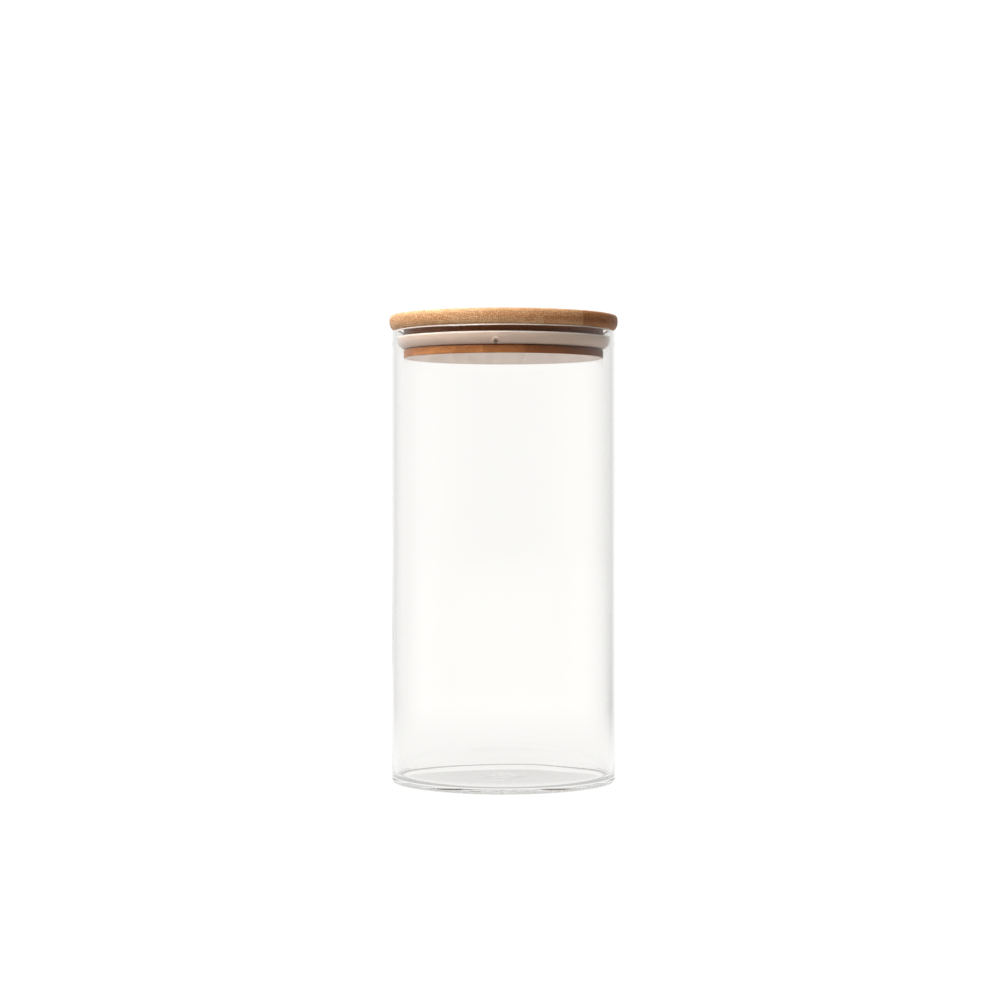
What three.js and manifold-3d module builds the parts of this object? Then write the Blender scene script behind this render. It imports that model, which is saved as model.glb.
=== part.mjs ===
// A glass storage canister with a bamboo plug lid and a silicone lip seal.
//
// Millimetres, +Z up. The origin is the centre of the foot, on the surface that the jar stands on.
// The jar is one blown glass body. The lid is two laminated bamboo boards, glued face to face: a wide
// cap that rests over the rim, and a plug that goes down into the mouth. Each board is made of flat
// plies, and each ply of strips laid side by side with their fibres along Y, then turned to shape.
// The seal sits in a groove of the plug, and its lip curves out and up to the inside of the glass.

import * as THREE from 'three';
import { mergeVertices } from 'three/addons/utils/BufferGeometryUtils.js';
import Module from 'manifold-3d';

// Faces round the axis, steps along a round edge, and steps across the jar's domed bottom.
const FACES = 72;
const ARC_STEPS = 4;
const DOME_STEPS = 3;

// Jar
const JAR_RADIUS = 59.5;
const JAR_WALL = 2.2;
const RIM_Z = 240.4;
const HEEL_RADIUS = 1.6;
const FOOT_RING_INNER_RADIUS = 50;
const PUSH_UP = 0.6;
const FLOOR_THICKNESS = 2.2;
const INNER_HEEL_RADIUS = 4;

// Cap
const CAP_Z = 240.7;
const CAP_RADIUS = 61;
const CAP_PLY = 3.8;
const CAP_PLIES = ['lower', 'upper'];
const CAP_STRIPS = 6;
const CAP_STRIP_WIDTH = 20.5;
const CAP_TOP_EDGE = { across: 1.2, down: 2.1 };
const CAP_BOTTOM_EDGE = { across: 3, down: 4.3 };

// Plug, which hangs under the cap
const PLUG_RADIUS = 53.4;
const PLUG_PLY = 5;
const PLUG_PLIES = ['lower', 'middle', 'upper'];
const PLUG_STRIPS = 5;
const PLUG_STRIP_WIDTH = 21.5;
const PLUG_EDGE = 0.4;
const GROOVE_FLOOR_RADIUS = 50;
const GROOVE_BOTTOM = 4.25;
const GROOVE_HEIGHT = 5;

// Seal
const GAP = 0.3;
const LIP_REACH = 5.4;
const LIP_RISE = 6.4;
const LIP_THICKNESS = 1.2;

const PLUG_Z = CAP_Z - PLUG_PLIES.length * PLUG_PLY;
const GROOVE_Z = PLUG_Z + GROOVE_BOTTOM;

const glass = new THREE.MeshStandardMaterial({
  color: 0xe9f2ee, roughness: 0.03, metalness: 0, transparent: true, opacity: 0.3,
});
const silicone = new THREE.MeshStandardMaterial({ color: 0xcfc3ba, roughness: 0.45, metalness: 0 });
const capBamboo = new THREE.MeshStandardMaterial({ color: 0xcf9a5c, roughness: 0.5, metalness: 0 });
const plugBamboo = new THREE.MeshStandardMaterial({ color: 0xbd8450, roughness: 0.55, metalness: 0 });

const wasm = await Module();
wasm.setup();

// Points on an ellipse about (r, z) in the (r, z) half-plane, from one angle to another in degrees.
function arc(r, z, acrossRadius, upRadius, from, to) {
  return Array.from({ length: ARC_STEPS + 1 }, (_, i) => {
    const angle = THREE.MathUtils.degToRad(from + ((to - from) * i) / ARC_STEPS);
    return [r + acrossRadius * Math.cos(angle), z + upRadius * Math.sin(angle)];
  });
}

// A closed mesh as a manifold-3d solid. The triangles that a lathe flattens at its axis are left out.
function solid(geometry) {
  geometry.deleteAttribute('normal');
  geometry.deleteAttribute('uv');
  const merged = mergeVertices(geometry, 1e-4);
  const corners = merged.index.array;
  const kept = [];
  for (let i = 0; i < corners.length; i += 3) {
    const [a, b, c] = corners.slice(i, i + 3);
    if (a !== b && b !== c && c !== a) kept.push(a, b, c);
  }
  return new wasm.Manifold(new wasm.Mesh({
    numProp: 3,
    vertProperties: merged.attributes.position.array,
    triVerts: new Uint32Array(kept),
  }));
}

// The solid of an outline turned round +Z. The outline is a list of [r, z] that runs with the material
// on its left: up the outside and down the inside.
function turned(outline) {
  const points = outline.map(([r, z]) => new THREE.Vector2(r, z));
  return solid(new THREE.LatheGeometry(points, FACES).rotateX(Math.PI / 2));
}

function block(low, high) {
  const size = new THREE.Vector3().subVectors(high, low);
  const centre = new THREE.Vector3().addVectors(low, high).multiplyScalar(0.5);
  return solid(new THREE.BoxGeometry(size.x, size.y, size.z).translate(centre.x, centre.y, centre.z));
}

function addPart(group, name, made, material) {
  const { vertProperties, triVerts } = made.getMesh();
  const geometry = new THREE.BufferGeometry();
  geometry.setAttribute('position', new THREE.BufferAttribute(vertProperties, 3));
  geometry.setIndex(new THREE.BufferAttribute(triVerts, 1));
  geometry.computeVertexNormals();
  const mesh = new THREE.Mesh(geometry, material);
  mesh.name = name;
  group.add(mesh);
}

// Points from the axis out to the foot ring on the jar's shallow dome, whose edge is at height z.
function dome(z) {
  return Array.from({ length: DOME_STEPS + 1 }, (_, i) => {
    const outward = i / DOME_STEPS;
    return [FOOT_RING_INNER_RADIUS * outward, z + PUSH_UP * (1 - outward ** 2)];
  });
}

// A straight tumbler with a flat foot ring, a slightly domed bottom and a fire-polished rim.
function jar() {
  const innerRadius = JAR_RADIUS - JAR_WALL;
  const rimRadius = JAR_WALL / 2;
  const footRadius = JAR_RADIUS - HEEL_RADIUS;
  return turned([
    ...dome(0),
    ...arc(footRadius, HEEL_RADIUS, HEEL_RADIUS, HEEL_RADIUS, -90, 0),
    ...arc(JAR_RADIUS - rimRadius, RIM_Z - rimRadius, rimRadius, rimRadius, 0, 180),
    ...arc(
      innerRadius - INNER_HEEL_RADIUS, FLOOR_THICKNESS + INNER_HEEL_RADIUS,
      INNER_HEEL_RADIUS, INNER_HEEL_RADIUS, 0, -90,
    ),
    ...dome(FLOOR_THICKNESS).reverse(),
  ]);
}

// A disc with a softly rounded edge, rounder below the middle than above it.
function cap() {
  const top = CAP_Z + CAP_PLIES.length * CAP_PLY;
  const { across: topAcross, down: topDown } = CAP_TOP_EDGE;
  const { across: bottomAcross, down: bottomUp } = CAP_BOTTOM_EDGE;
  return turned([
    [0, CAP_Z],
    ...arc(CAP_RADIUS - bottomAcross, CAP_Z + bottomUp, bottomAcross, bottomUp, -90, 0),
    ...arc(CAP_RADIUS - topAcross, top - topDown, topAcross, topDown, 0, 90),
    [0, top],
  ]);
}

// A disc with the seal's groove round it and a small chamfer at its bottom edge.
function plug() {
  return turned([
    [0, PLUG_Z],
    [PLUG_RADIUS - PLUG_EDGE, PLUG_Z],
    [PLUG_RADIUS, PLUG_Z + PLUG_EDGE],
    [PLUG_RADIUS, GROOVE_Z],
    [GROOVE_FLOOR_RADIUS, GROOVE_Z],
    [GROOVE_FLOOR_RADIUS, GROOVE_Z + GROOVE_HEIGHT],
    [PLUG_RADIUS, GROOVE_Z + GROOVE_HEIGHT],
    [PLUG_RADIUS, CAP_Z],
    [0, CAP_Z],
  ]);
}

// A band that fills the groove, with a lip that curves from its lower edge out and up to the glass.
function seal() {
  const bandInner = GROOVE_FLOOR_RADIUS + GAP;
  const bandBottom = GROOVE_Z + GAP;
  const bandTop = GROOVE_Z + GROOVE_HEIGHT - GAP;
  const lipTop = bandBottom + LIP_RISE;
  const lipRadius = JAR_RADIUS - JAR_WALL - GAP;
  const root = lipRadius - LIP_REACH;
  return turned([
    [bandInner, bandBottom],
    ...arc(root, lipTop, LIP_REACH, LIP_RISE, -90, 0),
    ...arc(root, lipTop, LIP_REACH - LIP_THICKNESS, LIP_RISE - LIP_THICKNESS, 0, -90),
    [root, bandTop],
    [bandInner, bandTop],
    [bandInner, bandBottom],
  ]);
}

// Cuts a turned board into its strips: plies along Z, and strips side by side along X.
function addBoard(group, board, { name, floor, plies, plyHeight, strips, stripWidth, radius, material }) {
  const reach = radius + 1;
  plies.forEach((ply, level) => {
    for (let strip = 0; strip < strips; strip++) {
      const west = (strip - strips / 2) * stripWidth;
      const bottom = floor + level * plyHeight;
      const piece = board.intersect(block(
        new THREE.Vector3(west, -reach, bottom),
        new THREE.Vector3(west + stripWidth, reach, bottom + plyHeight),
      ));
      addPart(group, `${name}_${ply}_strip_${strip + 1}`, piece, material);
    }
  });
}

const canister = new THREE.Group();
canister.name = 'canister';
addPart(canister, 'glass_jar', jar(), glass);
addPart(canister, 'silicone_seal', seal(), silicone);
addBoard(canister, cap(), {
  name: 'cap',
  floor: CAP_Z,
  plies: CAP_PLIES,
  plyHeight: CAP_PLY,
  strips: CAP_STRIPS,
  stripWidth: CAP_STRIP_WIDTH,
  radius: CAP_RADIUS,
  material: capBamboo,
});
addBoard(canister, plug(), {
  name: 'plug',
  floor: PLUG_Z,
  plies: PLUG_PLIES,
  plyHeight: PLUG_PLY,
  strips: PLUG_STRIPS,
  stripWidth: PLUG_STRIP_WIDTH,
  radius: PLUG_RADIUS,
  material: plugBamboo,
});

export default canister;
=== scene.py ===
"""Looks of the glass food canister: fine glass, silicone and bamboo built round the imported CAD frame.

Metres, +Z up, in the CAD's own frame. Every turned shape here is a ring of sections round the Z axis,
and the bamboo boards are cut into the same strips as the CAD nodes that they stand for.
"""

import math
import random

import bmesh
import bpy
import numpy as np
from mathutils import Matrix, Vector, noise


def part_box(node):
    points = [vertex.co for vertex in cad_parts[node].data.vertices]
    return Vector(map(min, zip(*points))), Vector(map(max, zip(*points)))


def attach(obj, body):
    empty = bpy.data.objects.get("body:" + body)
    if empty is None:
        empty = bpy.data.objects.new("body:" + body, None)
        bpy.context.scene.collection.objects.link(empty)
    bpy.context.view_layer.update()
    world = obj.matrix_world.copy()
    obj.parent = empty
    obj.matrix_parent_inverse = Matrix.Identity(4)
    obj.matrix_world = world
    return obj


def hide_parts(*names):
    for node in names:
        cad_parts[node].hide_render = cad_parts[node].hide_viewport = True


MM = 0.001
TINY = 1e-9

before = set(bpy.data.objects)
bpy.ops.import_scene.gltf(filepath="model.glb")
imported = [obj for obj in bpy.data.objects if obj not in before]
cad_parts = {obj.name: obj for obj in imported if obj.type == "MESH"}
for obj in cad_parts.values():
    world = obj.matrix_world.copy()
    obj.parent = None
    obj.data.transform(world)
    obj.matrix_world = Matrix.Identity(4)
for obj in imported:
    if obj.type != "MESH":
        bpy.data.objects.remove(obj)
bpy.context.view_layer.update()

# ---------------------------------------------------------------- sizes

_, jar_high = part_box("glass_jar")
seal_low, seal_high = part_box("silicone_seal")
CAP_NODES = sorted(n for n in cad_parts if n.startswith("cap_"))
PLUG_NODES = sorted(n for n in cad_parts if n.startswith("plug_"))


def board_box(nodes):
    """The lowest and highest corners of a board, from those of its strips."""
    corners = [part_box(n) for n in nodes]
    low = Vector(min(c[0][i] for c in corners) for i in range(3))
    high = Vector(max(c[1][i] for c in corners) for i in range(3))
    return low, high


cap_low, cap_high = board_box(CAP_NODES)
plug_low, plug_high = board_box(PLUG_NODES)

JAR_RADIUS = jar_high.x
RIM_Z = jar_high.z
JAR_WALL = 2.2 * MM
JAR_FLOOR = 2.2 * MM
PUSH_UP = 0.6 * MM
HEEL_RADIUS = 1.6 * MM
INNER_HEEL_RADIUS = 4 * MM
FOOT_RING_INNER_RADIUS = 50 * MM
RIM_BEAD = 0.12 * MM

CAP_RADIUS = cap_high.y
CAP_TOP_EDGE = (1.2 * MM, 2.1 * MM)
CAP_BOTTOM_EDGE = (3 * MM, 4.3 * MM)

PLUG_RADIUS = plug_high.y
PLUG_EDGE = 0.5 * MM
GROOVE_FLOOR_RADIUS = 50 * MM
GROOVE_Z = plug_low.z + 4.25 * MM
GROOVE_HEIGHT = 5 * MM
GROOVE_LOW_EDGE = (0.6 * MM, 0.9 * MM)
GROOVE_TOP_EDGE = 0.3 * MM

LIP_RADIUS = JAR_RADIUS - JAR_WALL - 0.08 * MM
LIP_TOP = seal_high.z
LIP_REACH = 5.5 * MM
LIP_ROOT_THICKNESS = 1.5 * MM
LIP_EDGE_THICKNESS = 0.8 * MM
SEAL_GAP = 0.05 * MM

# ---------------------------------------------------------------- mesh helpers

# A face whose normal is this near to straight up or down is level.
LEVEL = 0.9999


def arc(r, z, across, up, start, stop, steps):
    """Points on an ellipse about (r, z) in the section plane, angles in degrees."""
    points = []
    for i in range(steps + 1):
        angle = math.radians(start + (stop - start) * i / steps)
        points.append((r + across * math.cos(angle), z + up * math.sin(angle)))
    return points


def line(start, stop, steps):
    """Points between two section points, without either end."""
    return [
        tuple(a + (b - a) * i / steps for a, b in zip(start, stop))
        for i in range(1, steps)
    ]


def ring_angles(count, fine_at=None, fine_span=0.0, fine_count=0):
    """Angles round the axis, with extra ones closer together about fine_at."""
    angles = [math.tau * i / count for i in range(count)]
    if fine_at is not None:
        low, high = fine_at - fine_span, fine_at + fine_span
        angles = [a for a in angles if not low <= a <= high]
        angles += [low + (high - low) * i / fine_count for i in range(fine_count + 1)]
    return sorted(angles)


def turned_bmesh(outline, angles, shape=None):
    """A closed solid of an outline of (r, z) turned round Z. Points at r = 0 become one vertex each.
    shape, if given, takes (r, z, angle, index) of a point and returns its own (r, z)."""
    bm = bmesh.new()
    rings = []
    for index, (r, z) in enumerate(outline):
        ring = []
        for angle in [0.0] if r < TINY else angles:
            out, up = shape(r, z, angle, index) if shape else (r, z)
            ring.append(bm.verts.new((out * math.cos(angle), out * math.sin(angle), up)))
        rings.append(ring)
    starts_at_axis = len(rings[0]) == 1
    pairs = zip(rings, rings[1:] if starts_at_axis else rings[1:] + rings[:1])
    count = len(angles)
    for here, there in pairs:
        for i in range(count):
            j = (i + 1) % count
            if len(here) == 1:
                bm.faces.new((here[0], there[j], there[i]))
            elif len(there) == 1:
                bm.faces.new((here[i], here[j], there[0]))
            else:
                bm.faces.new((here[i], here[j], there[j], there[i]))
    bmesh.ops.recalc_face_normals(bm, faces=bm.faces)
    return bm


def to_object(bm, name, material, sharp_deg=35):
    """The bmesh as a smooth object, with sharp edges round its level faces and at its steep bends."""
    for edge in bm.edges:
        level = [abs(face.normal.z) > LEVEL for face in edge.link_faces]
        edge.smooth = all(level) or not any(level)
    mesh = bpy.data.meshes.new(name)
    bm.to_mesh(mesh)
    bm.free()
    for polygon in mesh.polygons:
        polygon.use_smooth = True
    sharp_before = [edge.use_edge_sharp for edge in mesh.edges]
    mesh.set_sharp_from_angle(angle=math.radians(sharp_deg))
    for edge, sharp in zip(mesh.edges, sharp_before):
        edge.use_edge_sharp = edge.use_edge_sharp or sharp
    mesh.materials.append(material)
    piece = bpy.data.objects.new(name, mesh)
    bpy.context.scene.collection.objects.link(piece)
    return piece


# ---------------------------------------------------------------- node helpers


class Nodes:
    """A short way to write a node tree: each method adds a node and returns its output."""

    def __init__(self, tree):
        self.tree = tree
        tree.nodes.clear()

    def put(self, socket, value):
        if isinstance(value, bpy.types.NodeSocket):
            self.tree.links.new(value, socket)
        else:
            socket.default_value = value

    def node(self, kind, **settings):
        made = self.tree.nodes.new(kind)
        for name, value in settings.items():
            setattr(made, name, value)
        return made

    def maths(self, operation, a, b=0.0, c=0.0, clamp=False):
        made = self.node("ShaderNodeMath", operation=operation, use_clamp=clamp)
        for socket, value in zip(made.inputs, (a, b, c)):
            self.put(socket, value)
        return made.outputs[0]

    def vector(self, operation, a, b=(0, 0, 0)):
        made = self.node("ShaderNodeVectorMath", operation=operation)
        self.put(made.inputs[0], a)
        self.put(made.inputs[1], b)
        return made.outputs["Value" if operation in ("DOT_PRODUCT", "LENGTH") else "Vector"]

    def ramp(self, value, low, high, to_low=0.0, to_high=1.0):
        """Eases from to_low to to_high as value goes from low to high."""
        made = self.node("ShaderNodeMapRange", interpolation_type="SMOOTHSTEP")
        for socket, given in zip(made.inputs, (value, low, high, to_low, to_high)):
            self.put(socket, given)
        return made.outputs[0]

    def mix(self, share, a, b):
        made = self.node("ShaderNodeMix", data_type="RGBA")
        self.put(made.inputs[0], share)
        self.put(made.inputs[6], a)
        self.put(made.inputs[7], b)
        return made.outputs[2]

    def noise(self, at, scale, detail):
        made = self.node("ShaderNodeTexNoise")
        self.put(made.inputs["Vector"], at)
        self.put(made.inputs["Scale"], scale)
        self.put(made.inputs["Detail"], detail)
        return made.outputs[0]

    def attribute(self, name, output="Fac"):
        return self.node("ShaderNodeAttribute", attribute_name=name).outputs[output]

    def split(self, vector):
        made = self.node("ShaderNodeSeparateXYZ")
        self.put(made.inputs[0], vector)
        return made.outputs

    def join(self, x, y, z):
        made = self.node("ShaderNodeCombineXYZ")
        for socket, value in zip(made.inputs, (x, y, z)):
            self.put(socket, value)
        return made.outputs[0]


def new_material(name):
    material = bpy.data.materials.new(name)
    material.use_nodes = True
    return material, Nodes(material.node_tree)


def finish_material(nodes, shader):
    out = nodes.node("ShaderNodeOutputMaterial")
    nodes.tree.links.new(shader.outputs[0], out.inputs["Surface"])


# ---------------------------------------------------------------- materials

FIBRE_PITCH = 0.95 * MM
FIBRE_SWAY = 1.6 * MM
# How fast the fine grain and the broad bands change along X, Y and Z, per metre.
GRAIN_SCALES = (5200, 60, 5200)
BAND_SCALES = (170, 7, 260)
# Distances over which these fade: a knuckle's belt, the thin line in it, and a glue line.
KNUCKLE_BELT = (1.2 * MM, 4.5 * MM)
KNUCKLE_LINE = (0.15 * MM, 0.7 * MM)
GLUE_LINE = (0.03 * MM, 0.16 * MM)
KNUCKLE_WAVE = 5 * MM
KNUCKLE_COLOUR = (0.16, 0.08, 0.035, 1)
GLUE_COLOUR = (0.20, 0.10, 0.045, 1)
GLASS_IOR = 1.473


def stretched_noise(n, place, scales):
    """Noise with a scale of its own along each axis."""
    scaled = [n.maths("MULTIPLY", part, scale) for part, scale in zip(place, scales)]
    return n.noise(n.join(*scaled), 1.0, 2)


def bamboo(name, pale, tan, dark, sanded, gloss):
    """Bamboo whose fibres run along Y: bundles show as dots on end grain and as streaks elsewhere."""
    material, n = new_material(name)
    place = n.node("ShaderNodeTexCoord").outputs["Object"]
    at = n.vector("ADD", place, n.attribute("strip_shift", "Vector"))
    depth = n.attribute("ply_depth")
    tone_and_shade = n.attribute("strip_tone_and_shade")
    x, y, z = n.split(at)

    # Fibres wander slightly sideways along the strip.
    wander = n.noise(n.join(n.maths("MULTIPLY", x, 0.6), y, z), 35, 1)
    sway = n.maths("MULTIPLY", n.maths("SUBTRACT", wander, 0.5), FIBRE_SWAY)
    across = n.maths("ADD", x, sway)

    # Fibre bundles: round spots in the section, many and dark at the outside of the culm.
    section = n.join(across, n.maths("ADD", z, n.maths("MULTIPLY", sway, 0.6)), 0.0)
    cells = n.node("ShaderNodeTexVoronoi", voronoi_dimensions="2D", feature="F1")
    n.put(cells.inputs["Vector"], section)
    n.put(cells.inputs["Scale"], 1 / FIBRE_PITCH)
    n.put(cells.inputs["Randomness"], 0.65)
    reach = n.ramp(depth, 0.0, 1.0, 0.30, 0.50)
    bundle = n.ramp(n.maths("DIVIDE", cells.outputs["Distance"], reach), 0.1, 1.3, 1.0, 0.0)
    each = n.split(cells.outputs["Color"])[0]
    bundle = n.maths("MULTIPLY", bundle, n.maths("MULTIPLY_ADD", each, 0.5, 0.5))

    # Fine grain between the bundles, and broad bands of lighter and darker wood.
    grain = stretched_noise(n, (across, y, z), GRAIN_SCALES)
    band = stretched_noise(n, (across, y, z), BAND_SCALES)

    # A knuckle crosses the strip as a darker belt with a thin line in it.
    from_knuckle = n.maths("SUBTRACT", y, n.attribute("knuckle_y"))
    bend = n.maths("MULTIPLY", n.maths("SUBTRACT", band, 0.5), KNUCKLE_WAVE)
    along = n.maths("ABSOLUTE", n.maths("ADD", from_knuckle, bend))
    belt = n.ramp(along, *KNUCKLE_BELT, 1.0, 0.0)
    groove = n.ramp(along, *KNUCKLE_LINE, 1.0, 0.0)

    # A thin glue line at each side of the strip.
    glue = n.ramp(n.attribute("side_distance"), *GLUE_LINE, 1.0, 0.0)

    # Planed faces, against the turned edge with its open ends of fibres.
    upright = n.maths("ABSOLUTE", n.split(n.node("ShaderNodeNewGeometry").outputs["Normal"])[2])
    planed = n.ramp(upright, 0.93, 1.0)

    # Pale to tan to dark by place in the ply and by strip, the strip's part being partly its own colour
    # and partly painted shade, then the grain and everything on top of it.
    shade = n.maths("MULTIPLY_ADD", depth, 0.4, n.maths("MULTIPLY", tone_and_shade, 0.8))
    base = n.mix(n.maths("MINIMUM", shade, 1.0), pale, tan)
    past_tan = n.maths("SUBTRACT", shade, 1.0, clamp=True)
    base = n.mix(n.maths("MULTIPLY", past_tan, 1.2, clamp=True), base, dark)
    base = n.mix(n.maths("MULTIPLY", n.ramp(band, 0.38, 0.66), 0.5), base, tan)
    base = n.mix(n.maths("MULTIPLY", n.ramp(grain, 0.35, 0.75), 0.36), base, dark)
    base = n.mix(n.maths("MULTIPLY", bundle, n.maths("MULTIPLY_ADD", planed, -0.60, 0.85)), base, dark)
    base = n.mix(n.maths("MULTIPLY", planed, 0.6), base, sanded)
    base = n.mix(n.maths("MULTIPLY", belt, 0.45), base, dark)
    base = n.mix(n.maths("MULTIPLY", groove, 0.6), base, KNUCKLE_COLOUR)
    base = n.mix(n.maths("MULTIPLY", glue, 0.15), base, GLUE_COLOUR)

    shader = n.node("ShaderNodeBsdfPrincipled")
    n.put(shader.inputs["Base Color"], base)
    roughness = n.maths("MULTIPLY_ADD", planed, -0.33, 0.42)
    n.put(shader.inputs["Roughness"], n.maths("MULTIPLY_ADD", band, 0.12, roughness))
    shader.inputs["Specular IOR Level"].default_value = gloss
    bump = n.node("ShaderNodeBump")
    bump.inputs["Strength"].default_value = 0.3
    bump.inputs["Distance"].default_value = 0.015 * MM
    height = n.maths("SUBTRACT", n.maths("MULTIPLY", grain, 0.7), n.maths("MULTIPLY", bundle, 0.5))
    height = n.maths("SUBTRACT", height, n.maths("MULTIPLY", glue, 0.8))
    height = n.maths("MULTIPLY", height, n.maths("MULTIPLY_ADD", planed, -1.0, 1.0))
    n.put(bump.inputs["Height"], height)
    n.put(shader.inputs["Normal"], bump.outputs[0])
    finish_material(n, shader)
    return material


def clear_glass():
    """Clear borosilicate glass with the faintest warm tint."""
    material, n = new_material("clear_glass")
    shader = n.node("ShaderNodeBsdfPrincipled")
    shader.inputs["Base Color"].default_value = (0.992, 0.990, 0.983, 1)
    shader.inputs["Roughness"].default_value = 0.0
    shader.inputs["IOR"].default_value = GLASS_IOR
    shader.inputs["Transmission Weight"].default_value = 1.0
    finish_material(n, shader)
    return material


def rim_glass_painted_glow():
    """The polished rim's top band, part diffuse and cream: the cream is a painted glow that stands in for
    the bright light that the rim bead gathers and bends under the cap.
    """
    material, n = new_material("rim_glass_painted_glow")
    shader = n.node("ShaderNodeBsdfPrincipled")
    shader.inputs["Base Color"].default_value = (1.0, 0.86, 0.76, 1)
    shader.inputs["Roughness"].default_value = 0.03
    shader.inputs["IOR"].default_value = GLASS_IOR
    shader.inputs["Transmission Weight"].default_value = 0.55
    finish_material(n, shader)
    return material


def milky_silicone():
    """Soft milky silicone with a little dust on it, with a painted glow along the lip's thin top edge, for
    the light that the thin translucent edge gathers, and painted shade in the pinhole of its moulding
    mark."""
    material, n = new_material("milky_silicone")
    at = n.node("ShaderNodeTexCoord").outputs["Object"]
    cloud = n.noise(at, 140, 3)
    dust = n.noise(at, 2600, 2)
    base = n.mix(cloud, (0.59, 0.43, 0.345, 1), (0.66, 0.51, 0.41, 1))
    # Painted glow: the lip is made lighter towards its top edge, fully so in the top 0.5 mm, for light
    # that the thin translucent edge gathers.
    painted_edge_glow = n.ramp(n.split(at)[2], LIP_TOP - 1.1 * MM, LIP_TOP - 0.5 * MM)
    base = n.mix(painted_edge_glow, base, (0.86, 0.70, 0.60, 1))
    # Painted shade: the moulding mark's pinhole is darkened for the shade inside the hole.
    base = n.mix(n.attribute("mark_hole_shade"), base, (0.17, 0.12, 0.09, 1))
    shader = n.node("ShaderNodeBsdfPrincipled")
    n.put(shader.inputs["Base Color"], base)
    n.put(shader.inputs["Roughness"], n.maths("MULTIPLY_ADD", dust, 0.2, 0.32))
    shader.inputs["IOR"].default_value = 1.41
    shader.inputs["Subsurface Weight"].default_value = 0.9
    shader.inputs["Subsurface Radius"].default_value = (1.0, 0.9, 0.8)
    shader.inputs["Subsurface Scale"].default_value = 2.5 * MM
    bump = n.node("ShaderNodeBump")
    bump.inputs["Strength"].default_value = 0.15
    bump.inputs["Distance"].default_value = 0.05 * MM
    n.put(bump.inputs["Height"], dust)
    n.put(shader.inputs["Normal"], bump.outputs[0])
    finish_material(n, shader)
    return material


# ---------------------------------------------------------------- jar

JAR_RING = 288
WALL_STEPS = 48
DOME_STEPS = 28
# The slow waves of the wall: how deep and how close they are, and the height below which there are none.
WAVE = 0.035 * MM
WAVES_ROUND = 2.2
WAVES_UP = 14
WAVE_LOW = 12 * MM
# Shifts the inner surface's waves from the outer one's.
INNER_WAVE_SHIFT = 7
SWIRL_RADIUS = 8 * MM
SWIRL_HEIGHT = 0.35 * MM
RIM_BAND = 0.9 * MM


def dome_points(z, steps):
    """From the axis out to the foot ring, on the jar's shallow dome."""
    return [
        (FOOT_RING_INNER_RADIUS * i / steps, z + PUSH_UP * (1 - (i / steps) ** 2))
        for i in range(steps + 1)
    ]


def jar_outline():
    """From the axis out under the foot, up the outside, over the rim and down the inside to the axis."""
    inner = JAR_RADIUS - JAR_WALL
    half_wall = JAR_WALL / 2
    rim_centre = JAR_RADIUS - half_wall
    rim_low = RIM_Z - half_wall - RIM_BEAD
    outside_foot = arc(JAR_RADIUS - HEEL_RADIUS, HEEL_RADIUS, HEEL_RADIUS, HEEL_RADIUS, -90, 0, steps=10)
    bead = half_wall + RIM_BEAD
    rim = arc(rim_centre, rim_low, bead, bead, 0, 180, steps=20)
    below_rim = RIM_Z - 5 * MM
    outer_wall = line(outside_foot[-1], (JAR_RADIUS, below_rim), WALL_STEPS)
    inside_foot = arc(inner - INNER_HEEL_RADIUS, JAR_FLOOR + INNER_HEEL_RADIUS,
                      INNER_HEEL_RADIUS, INNER_HEEL_RADIUS, 0, -90, steps=12)
    inner_wall = line((inner, below_rim), inside_foot[0], WALL_STEPS)
    return (
        dome_points(0, DOME_STEPS) + outside_foot + outer_wall + [(JAR_RADIUS, below_rim)]
        + rim + [(inner, below_rim)] + inner_wall + inside_foot
        + dome_points(JAR_FLOOR, DOME_STEPS)[::-1]
    )


def jar_shape(r, z, angle, index):
    """Blown glass is never quite true: slow waves in its wall, and a swirl where it was pinched off."""
    around = Vector((math.cos(angle), math.sin(angle), 0)) * WAVES_ROUND
    shift = INNER_WAVE_SHIFT if r < JAR_RADIUS - JAR_WALL / 2 else 0
    wave = noise.noise(around + Vector((0, 0, z * WAVES_UP + shift)))
    if r > JAR_RADIUS - JAR_WALL * 1.5 and z > WAVE_LOW:
        r += WAVE * wave
    if r < 2.2 * SWIRL_RADIUS:
        turn = math.cos(2 * angle + r / (1.6 * MM)) + 0.6 * math.cos(3 * angle - r / (1.1 * MM) + 1)
        z += SWIRL_HEIGHT * turn * math.exp(-((r / SWIRL_RADIUS) ** 2)) * min(r / (2 * MM), 1)
    return r, z


def make_jar(glass, rim):
    bm = turned_bmesh(jar_outline(), ring_angles(JAR_RING), jar_shape)
    jar = to_object(bm, "jar_glass", glass, sharp_deg=60)
    jar.data.materials.append(rim)
    # The top band of faces takes the rim glass, whose cream colour is a painted glow.
    for face in jar.data.polygons:
        if face.center.z > RIM_Z - RIM_BAND:
            face.material_index = 1
    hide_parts("glass_jar")
    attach(jar, "jar")
    jar.visible_shadow = False
    jar.visible_diffuse = False


# ---------------------------------------------------------------- seal

MARK_ANGLE = math.radians(270 - 4.15)
MARK_Z = 231.5 * MM
MARK_RING = 1.6 * MM
MARK_HEIGHT = 0.6 * MM
MARK_HOLE = 0.85 * MM
MARK_RING_WIDTH = 0.5 * MM
MARK_HOLE_DEPTH = 2.2 * MARK_HEIGHT
# Sections round the seal, and the finer ones across the mark.
SEAL_RING = 240
FINE_SPAN = math.radians(2.4)
FINE_STEPS = 36
# Steps of the seal's outline, and the last of its points, counted from 0, that the mark may move.
CORNER_STEPS = 3
LIP_STEPS = 40
LAST_OUTSIDE = CORNER_STEPS + LIP_STEPS + 2


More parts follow.
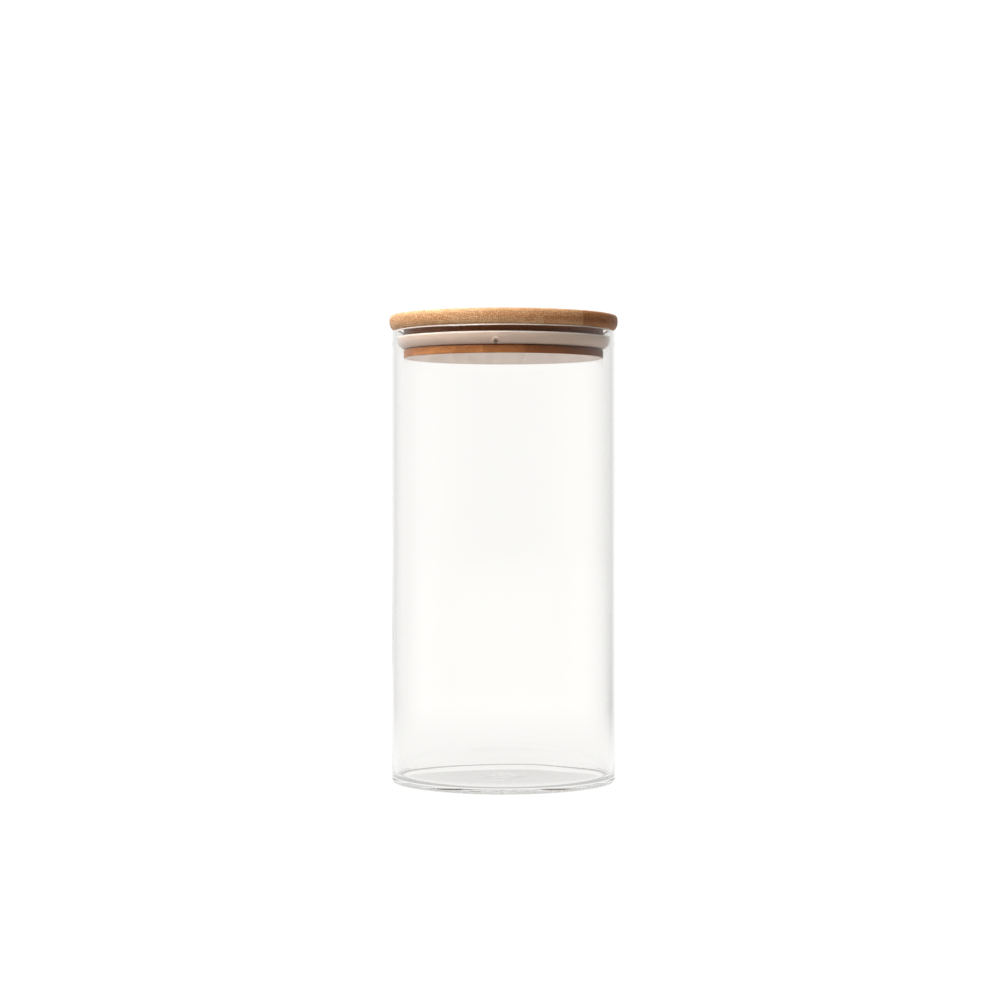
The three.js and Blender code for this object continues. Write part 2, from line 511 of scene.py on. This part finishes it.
def seal_outline():
    """The band in the groove, and the lip that curves out and up from its lower edge to the glass."""
    root = LIP_RADIUS - LIP_REACH
    bottom = seal_low.z
    rise = LIP_TOP - bottom
    band_inner = GROOVE_FLOOR_RADIUS + SEAL_GAP
    band_top = GROOVE_Z + GROOVE_HEIGHT - SEAL_GAP
    half_edge = LIP_EDGE_THICKNESS / 2
    outer = arc(root, LIP_TOP - half_edge, LIP_REACH, rise - half_edge, -90, 0, LIP_STEPS)
    edge = arc(LIP_RADIUS - half_edge, LIP_TOP - half_edge, half_edge, half_edge, 0, 180, steps=8)[1:]
    inner = arc(root, LIP_TOP - half_edge, LIP_REACH - LIP_EDGE_THICKNESS,
                rise - half_edge - LIP_ROOT_THICKNESS, 0, -90, steps=20)[1:]
    corner = 0.35 * MM
    return (
        [(band_inner, bottom + corner)]
        + arc(band_inner + corner, bottom + corner, corner, corner, 180, 270, CORNER_STEPS)[1:]
        + outer + edge + inner
        + [(root, band_top)]
        + arc(band_inner + corner, band_top - corner, corner, corner, 90, 180, CORNER_STEPS)
    )


def mark_distance(angle, r, z):
    """How far a point of the seal is from the middle of the mark, measured round the seal."""
    return math.hypot((angle - MARK_ANGLE) * r, z - MARK_Z)


def seal_shape(r, z, angle, index):
    """The small moulding mark on the lip's outside: a raised ring round a pinhole."""
    if r < LIP_RADIUS - LIP_REACH or z > LIP_TOP - 1.2 * MM or index > LAST_OUTSIDE:
        return r, z
    away = mark_distance(angle, r, z)
    ring = math.exp(-(((away - MARK_RING) / MARK_RING_WIDTH) ** 2))
    hole = math.exp(-((away / MARK_HOLE) ** 4))
    return r + MARK_HEIGHT * ring - MARK_HOLE_DEPTH * hole, z


def make_seal(silicone):
    angles = ring_angles(SEAL_RING, MARK_ANGLE, FINE_SPAN, FINE_STEPS)
    bm = turned_bmesh(seal_outline(), angles, seal_shape)
    seal = to_object(bm, "seal_ring", silicone, sharp_deg=50)
    # Painted shade for the moulding mark's pinhole: darkest at its middle, fading over the hole's width,
    # on the lip's outside only.
    hole_shade = []
    for vertex in seal.data.vertices:
        x, y, z = vertex.co
        r = math.hypot(x, y)
        outside = r > GROOVE_FLOOR_RADIUS + 2 * MM
        away = mark_distance(math.atan2(y, x) % math.tau, r, z) / MARK_HOLE
        hole_shade.append(math.exp(-(away ** 2)) if outside else 0.0)
    seal.data.attributes.new("mark_hole_shade", "FLOAT", "POINT").data.foreach_set("value", hole_shade)
    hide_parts("silicone_seal")
    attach(seal, "seal")


# ---------------------------------------------------------------- lid

LID_RING = 288
FACE_RINGS = 20
SAME_PLACE = 0.01 * MM
# A polygon whose normal is this near to straight up or down belongs to a planed face.
PLANED = 0.99
TONE_SPREAD = 0.06
# A place along Y that is well off the strip.
NO_KNUCKLE = 1.0
rng = random.Random(7)


def cap_outline():
    """A disc with a softly rounded edge, rounder below the middle than above it."""
    top_across, top_down = CAP_TOP_EDGE
    low_across, low_up = CAP_BOTTOM_EDGE
    return (
        [(0, cap_low.z)]
        + line((0, cap_low.z), (CAP_RADIUS - low_across, cap_low.z), FACE_RINGS)
        + arc(CAP_RADIUS - low_across, cap_low.z + low_up, low_across, low_up, -90, 0, steps=14)
        + arc(CAP_RADIUS - top_across, cap_high.z - top_down, top_across, top_down, 0, 90, steps=16)
        + line((CAP_RADIUS - top_across, cap_high.z), (0, cap_high.z), FACE_RINGS)
        + [(0, cap_high.z)]
    )


def plug_outline():
    """A disc with the seal's groove round it and its edges eased by sanding."""
    groove_top = GROOVE_Z + GROOVE_HEIGHT
    across, down = GROOVE_LOW_EDGE
    soft = GROOVE_TOP_EDGE
    return (
        [(0, plug_low.z)]
        + line((0, plug_low.z), (PLUG_RADIUS - PLUG_EDGE, plug_low.z), FACE_RINGS)
        + arc(PLUG_RADIUS - PLUG_EDGE, plug_low.z + PLUG_EDGE, PLUG_EDGE, PLUG_EDGE, -90, 0, steps=5)
        + arc(PLUG_RADIUS - across, GROOVE_Z - down, across, down, 0, 90, steps=8)
        + [(GROOVE_FLOOR_RADIUS, GROOVE_Z), (GROOVE_FLOOR_RADIUS, groove_top)]
        + arc(PLUG_RADIUS - soft, groove_top + soft, soft, soft, -90, 0, steps=3)
        + [(PLUG_RADIUS, plug_high.z), (0, plug_high.z)]
    )


def cut(bm, point, normal):
    """Cuts away what lies on the normal's side of a plane, and closes the cut."""
    geometry = bm.verts[:] + bm.edges[:] + bm.faces[:]
    made = bmesh.ops.bisect_plane(
        bm, geom=geometry, plane_co=point, plane_no=normal, clear_outer=True, dist=1e-7
    )["geom_cut"]
    edges = [e for e in made if isinstance(e, bmesh.types.BMEdge) and e.is_boundary]
    if edges:
        bmesh.ops.edgenet_fill(bm, edges=edges)


def strip_piece(board, node, name, material, outer_up, tone_and_shade, knuckle_y):
    """The part of a turned board inside one CAD strip, with what the bamboo material reads of it."""
    low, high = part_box(node)
    board_low, board_high = (plug_low, plug_high) if node in PLUG_NODES else (cap_low, cap_high)
    bm = board.copy()
    for axis in (0, 2):
        for bound, limit, sign in ((low, board_low, -1), (high, board_high, 1)):
            if abs(bound[axis] - limit[axis]) < SAME_PLACE:
                continue
            normal = Vector((0, 0, 0))
            normal[axis] = sign
            cut(bm, bound, normal)
    bmesh.ops.recalc_face_normals(bm, faces=bm.faces)
    piece = to_object(bm, name, material)
    mesh = piece.data
    points = np.empty(len(mesh.vertices) * 3, np.float32)
    mesh.vertices.foreach_get("co", points)
    points = points.reshape(-1, 3)
    depth = (points[:, 2] - low.z) / (high.z - low.z)
    values = {
        "ply_depth": depth if outer_up else 1 - depth,
        "strip_tone_and_shade": np.full(len(points), tone_and_shade),
        "knuckle_y": np.full(len(points), knuckle_y),
        "side_distance": np.minimum(points[:, 0] - low.x, high.x - points[:, 0]),
    }
    for key, data in values.items():
        mesh.attributes.new(key, "FLOAT", "POINT").data.foreach_set("value", data.astype(np.float32))
    shift = np.tile([rng.uniform(-1, 1) for _ in range(3)], len(points))
    mesh.attributes.new("strip_shift", "FLOAT_VECTOR", "POINT").data.foreach_set(
        "vector", shift.astype(np.float32)
    )
    return piece


def make_board(nodes, outline, slot, colours, gloss, tones_and_shade, knuckles):
    """A board's strips. gloss is that of the turned edge and that of the planed faces. tones_and_shade is
    how dark each ply's strips are, partly their own colour and partly painted shade, and knuckles is where
    along
    Y a strip has one."""
    edge = bamboo(slot + "_edge", gloss=gloss[0], **colours)
    face = bamboo(slot + "_face", gloss=gloss[1], **colours)
    board = turned_bmesh(outline, ring_angles(LID_RING))
    for node in nodes:
        _, ply, _, number = node.split("_")
        index = int(number) - 1
        # Each strip's darkness: partly its own colour, with a little random spread, partly painted shade.
        tone_and_shade = tones_and_shade[ply][index] + rng.uniform(-TONE_SPREAD, TONE_SPREAD)
        knuckle = knuckles.get((ply, index), NO_KNUCKLE)
        piece = strip_piece(board, node, node + "_bamboo", edge, ply == "lower", tone_and_shade, knuckle)
        piece.data.materials.append(face)
        for polygon in piece.data.polygons:
            polygon.material_index = int(abs(polygon.normal.z) > PLANED)
        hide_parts(node)
        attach(piece, "lid")
    board.free()


# ---------------------------------------------------------------- stage

# How bright white is to the camera, so that it washes out.
WHITE_SEEN = 1.02
SLIGHTLY_WARM = (1, 0.997, 0.99, 1)

# Brightness of the studio: its unlit parts, what shows straight through the glass, and the most that
# reflections inside the glass's wall see.
ROOM_LIGHT = 0.07
THROUGH_GLASS = 1.11
INSIDE_GLASS = 0.7
# Each soft light: where it is, the angles at which it starts and ends fading, and its strength.
STUDIO_LIGHTS = (
    ((-0.16, 1, 0.1), 25, 69, 1.03),
    ((-0.56, -0.54, 0.85), 8, 34, 10.0),
    ((-0.2, 0.1, 1), 20, 75, 0.65),
)

# The table, as it shows in the glass: TABLE_UNDER bright under the jar, and over these distances in metres
# it passes to the studio's own brightness, but to no less than TABLE_LEAST until it is far away.
TABLE_RADIUS = 8
TABLE_NEAR = (0.1, 0.5)
TABLE_FAR = (1.5, 6.0)
TABLE_UNDER = 0.96
TABLE_LEAST = 0.35
# How much of the light that falls on it the table throws back on the canister.
TABLE_BOUNCE = 0.32
# How much the contact shade takes away, and the distances from the axis where it fades in and out.
FOOT_SHADE = 0.4
FOOT_SHADE_INNER = (53.5 * MM, 55.5 * MM)
FOOT_SHADE_OUTER = (59 * MM, 60 * MM)

CAMERA_PLACE = (-1.9 * MM, -1221 * MM, 152.3 * MM)


def soft_patch(n, towards, direction, inner_deg, outer_deg, strength):
    """A round patch of light about a direction, which fades between two angles from it."""
    cosine = n.vector("DOT_PRODUCT", towards, tuple(Vector(direction).normalized()))
    dark, full = (math.cos(math.radians(angle)) for angle in (outer_deg, inner_deg))
    return n.ramp(cosine, dark, full, 0.0, strength)


def choose(n, is_first, first, other):
    """One of two values: first where is_first is 1, other where it is 0."""
    return n.maths("ADD", n.maths("MULTIPLY", n.maths("SUBTRACT", 1.0, is_first), other),
                   n.maths("MULTIPLY", is_first, first))


def studio_light(n, towards):
    """How bright the studio is in a direction, for any ray but the camera's own. It is white straight
    through the glass. Reflections on the glass see the lights, and reflections inside its wall see a
    room that is bright behind the canister and dim in front."""
    rays = n.node("ShaderNodeLightPath").outputs
    light = ROOM_LIGHT
    for direction, inner, outer, strength in STUDIO_LIGHTS:
        light = n.maths("ADD", soft_patch(n, towards, direction, inner, outer, strength), light)
    inside = n.ramp(n.split(towards)[1], -0.95, 0.25, ROOM_LIGHT, INSIDE_GLASS)
    # A ray that nothing has reflected on its way has gone straight through the glass.
    straight = n.maths("LESS_THAN", rays["Glossy Depth"], 0.5)
    through = choose(n, straight, THROUGH_GLASS, inside)
    return choose(n, rays["Is Transmission Ray"], through, light)


def make_floor():
    """A wide white table. What shows of it, directly or in the glass, is washed out and fades into the
    studio; only the light that it throws back on the canister comes from its plain surface."""
    material, n = new_material("table_white")
    rays = n.node("ShaderNodeLightPath").outputs
    bounced = rays["Is Diffuse Ray"]
    place = n.node("ShaderNodeNewGeometry").outputs["Position"]
    away = n.vector("LENGTH", place)
    room = studio_light(n, n.vector("NORMALIZE", place))
    in_glass = n.ramp(away, *TABLE_NEAR, TABLE_UNDER, n.maths("MAXIMUM", room, TABLE_LEAST))
    in_glass = n.ramp(away, *TABLE_FAR, in_glass, room)
    under_foot = n.maths("MULTIPLY", n.ramp(away, *FOOT_SHADE_INNER),
                         n.ramp(away, *FOOT_SHADE_OUTER, 1.0, 0.0))
    in_glass = n.maths("MULTIPLY", in_glass, n.maths("MULTIPLY_ADD", under_foot, -FOOT_SHADE, 1.0))
    washed = n.maths("MAXIMUM", n.maths("MULTIPLY", rays["Is Camera Ray"], WHITE_SEEN), in_glass)
    shader = n.node("ShaderNodeBsdfPrincipled")
    n.put(shader.inputs["Base Color"], n.mix(bounced, (0, 0, 0, 1), (TABLE_BOUNCE,) * 3 + (1,)))
    shader.inputs["Roughness"].default_value = 0.9
    shader.inputs["Specular IOR Level"].default_value = 0.0
    shader.inputs["Emission Color"].default_value = SLIGHTLY_WARM
    shown = n.maths("MULTIPLY", n.maths("SUBTRACT", 1.0, bounced), washed)
    n.put(shader.inputs["Emission Strength"], shown)
    finish_material(n, shader)
    bm = bmesh.new()
    bmesh.ops.create_circle(bm, cap_ends=True, segments=128, radius=TABLE_RADIUS)
    to_object(bm, "table", material)


def make_world():
    """A white studio for light and reflections: a wide bright wall behind the canister, a small strong
    light high on the left in front, a soft one above, and a dim room elsewhere. The camera itself sees
    plain white."""
    world = bpy.data.worlds.new("studio")
    bpy.context.scene.world = world
    world.use_nodes = True
    n = Nodes(world.node_tree)
    towards = n.node("ShaderNodeTexCoord").outputs["Generated"]

    seen = n.node("ShaderNodeLightPath").outputs["Is Camera Ray"]
    light = choose(n, seen, WHITE_SEEN, studio_light(n, towards))
    background = n.node("ShaderNodeBackground")
    background.inputs["Color"].default_value = SLIGHTLY_WARM
    n.put(background.inputs["Strength"], light)
    out = n.node("ShaderNodeOutputWorld")
    n.tree.links.new(background.outputs[0], out.inputs["Surface"])


def make_camera():
    """A level camera straight in front of the canister, a little above the middle of its height."""
    data = bpy.data.cameras.new("camera")
    data.sensor_width = 36
    data.lens = 82.1
    data.shift_y = -0.004
    data.clip_start = 0.01
    data.clip_end = 50
    camera = bpy.data.objects.new("camera", data)
    camera.location = CAMERA_PLACE
    camera.rotation_euler = (math.radians(90), 0, 0)
    bpy.context.scene.collection.objects.link(camera)
    bpy.context.scene.camera = camera


# ---------------------------------------------------------------- the canister

# How dark each ply's strips are, from 0, the palest, upwards, in order along X. The strips that show grow
# darker along +X, away from the key light on the left: partly their own colour, partly painted shade.
CAP_TONES_AND_SHADE = {
    "upper": [0.0, 0.05, 0.18, 0.32, 0.50, 1.25],
    "lower": [0.1, 0.12, 0.28, 0.42, 0.75, 1.45],
}
PLUG_TONES_AND_SHADE = {
    "upper": [0.7, 0.85, 0.8, 0.95, 0.9],
    "middle": [0.4, 0.5, 0.45, 0.55, 0.5],
    "lower": [0.1, 0.35, 0.7, 1.15, 1.35],
}
# Where along Y a strip has a knuckle, by ply and by strip from 0.
CAP_KNUCKLES = {
    ("upper", 1): 24 * MM,
    ("upper", 3): -19 * MM,
    ("upper", 4): 36 * MM,
    ("upper", 5): -40 * MM,
    ("lower", 2): 10 * MM,
}
PLUG_KNUCKLES = {("lower", 1): -18 * MM, ("lower", 3): 22 * MM}

CAP_COLOURS = {
    "pale": (0.86, 0.55, 0.30, 1),
    "tan": (0.48, 0.22, 0.088, 1),
    "dark": (0.17, 0.050, 0.016, 1),
    "sanded": (0.50, 0.30, 0.14, 1),
}
CAP_GLOSS = (0.10, 0.30)
PLUG_COLOURS = {
    "pale": (0.60, 0.24, 0.075, 1),
    "tan": (0.27, 0.088, 0.026, 1),
    "dark": (0.10, 0.030, 0.010, 1),
    "sanded": (0.80, 0.50, 0.30, 1),
}
PLUG_GLOSS = (0.08, 0.42)

scene = bpy.context.scene
scene.view_settings.view_transform = "Standard"
# Light that runs along inside the glass turns back and forth many times before it comes out.
scene.cycles.max_bounces = 32
scene.cycles.glossy_bounces = 24
scene.cycles.transmission_bounces = 24
make_camera()
make_world()
make_floor()
make_jar(clear_glass(), rim_glass_painted_glow())
make_seal(milky_silicone())
make_board(CAP_NODES, cap_outline(), "cap_bamboo", CAP_COLOURS, CAP_GLOSS, CAP_TONES_AND_SHADE, CAP_KNUCKLES)
make_board(PLUG_NODES, plug_outline(), "plug_bamboo", PLUG_COLOURS, PLUG_GLOSS, PLUG_TONES_AND_SHADE, PLUG_KNUCKLES)
